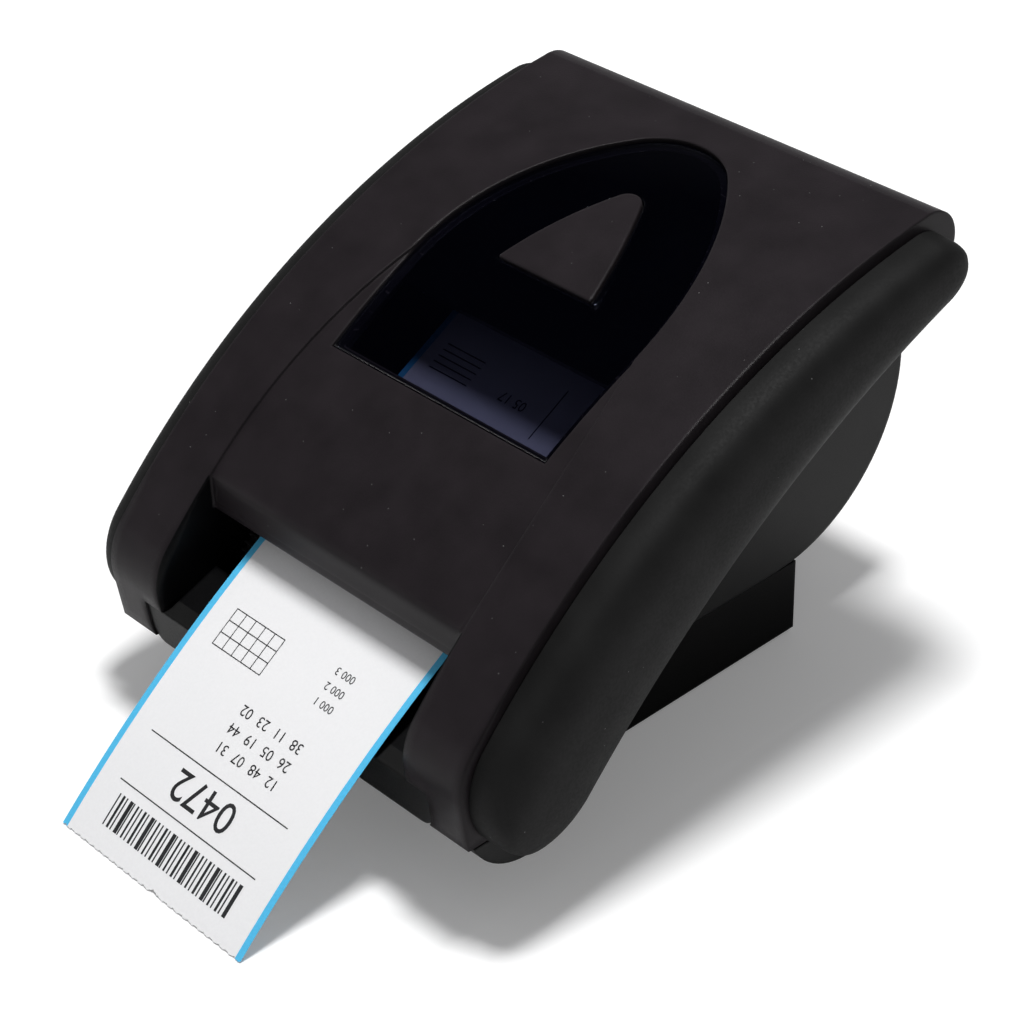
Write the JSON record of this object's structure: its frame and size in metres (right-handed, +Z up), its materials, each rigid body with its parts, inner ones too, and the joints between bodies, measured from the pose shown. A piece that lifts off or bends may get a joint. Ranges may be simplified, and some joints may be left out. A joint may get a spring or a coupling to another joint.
{
  "type": "desktop ticket printer",
  "caption": "Black desktop ticket printer: arched hinged lid with a smoked window and feed key over a roll housing on a pedestal, with a paper ticket hanging from its mouth.",
  "frame": {"origin": "middle of the face that the pedestal stands on, on the plane of symmetry", "axes": "+Z up, -Y towards the front where the ticket comes out, +X to the right seen from the front"},
  "size_m": [0.1774, 0.2586, 0.15],
  "materials": {
    "cover": "fine moulded texture, satin black",
    "case": "fine moulded texture, black",
    "wing": "soft-touch black skin",
    "lens": "smoked, clear and glossy",
    "mask": "gloss black",
    "key": "fine texture, black",
    "mat": "ribless black rubber",
    "platen": "smooth black rubber",
    "steel": "plain bright steel",
    "screw": "black zinc",
    "alu": "satin",
    "brass": "plain",
    "acetal": "black",
    "socket": "plain black",
    "board": "green lacquer",
    "motor": "zinc plated",
    "spindle": "dark grey",
    "core": "wound board",
    "paper": "coated thermal paper"
  },
  "bodies": {
    "base": {"pedestal": "case", "bottom_plate": "case", "base_mat": "mat", "base_screws": "screw", "lower_case": "case", "wing_left": "wing", "wing_right": "wing", "wing_screws": "screw", "circuit_board": "board", "power_inlet": "socket", "data_port": "steel", "switch_frame": "socket", "mech_frame": "steel", "platen_bushes": "brass", "idler_stud": "steel", "stepper_motor": "motor", "paper_sensor": "socket", "ticket_strip": "paper", "hinge_pins": "steel"},
    "lid": {"top_cover": "cover", "window": "lens", "window_mask": "mask", "key_board": "board", "head_carrier": "steel", "head_pin": "steel", "head_spring": "steel", "tear_bar": "steel"},
    "key": {"feed_key": "key"},
    "head": {"print_head": "alu"},
    "rocker": {"power_switch": "socket"},
    "roll": {"roll_spindle": "spindle", "roll_core": "core", "ticket_roll": "paper"},
    "platen": {"platen_shaft": "steel", "platen_rubber": "platen", "platen_gear": "acetal"},
    "idler": {"idler_gear": "acetal"},
    "pinion": {"motor_pinion": "brass"}
  },
  "joints": [
    {"name": "lid_hinge", "type": "hinge", "parent": "base", "child": "lid", "pos_m": [0, 0.077, 0.13899], "axis": [-1, 0, 0], "range_deg": [0, 75]},
    {"name": "key_press", "type": "slide", "parent": "lid", "child": "key", "axis": [0, 0.3502, -0.9367], "range_m": [0, 0.0015], "stiffness_N_per_m": 300, "springref_m": -0.001},
    {"name": "head_float", "type": "hinge", "parent": "lid", "child": "head", "pos_m": [0, -0.05091, 0.08165], "axis": [-1, 0, 0], "range_deg": [0, 2], "stiffness_Nm_per_rad": 0.05, "springref_deg": -9.74},
    {"name": "switch_rock", "type": "hinge", "parent": "base", "child": "rocker", "pos_m": [0.024, 0.06, 0.0148], "axis": [1, 0, 0], "range_deg": [0, 16]},
    {"name": "roll_spin", "type": "hinge", "parent": "base", "child": "roll", "pos_m": [0, 0.054, 0.07915], "axis": [1, 0, 0], "continuous": true},
    {"name": "platen_spin", "type": "hinge", "parent": "base", "child": "platen", "pos_m": [0, -0.05407, 0.06262], "axis": [1, 0, 0], "continuous": true},
    {"name": "idler_spin", "type": "hinge", "parent": "base", "child": "idler", "pos_m": [0, -0.06366, 0.04599], "axis": [1, 0, 0], "continuous": true},
    {"name": "pinion_spin", "type": "hinge", "parent": "base", "child": "pinion", "pos_m": [0, -0.07046, 0.03421], "axis": [1, 0, 0], "continuous": true}
  ],
  "couplings": [
    {"joint": "platen_spin", "follows": "roll_spin", "ratio": 5.75},
    {"joint": "idler_spin", "follows": "roll_spin", "ratio": -8.05},
    {"joint": "pinion_spin", "follows": "roll_spin", "ratio": 11.5}
  ]
}
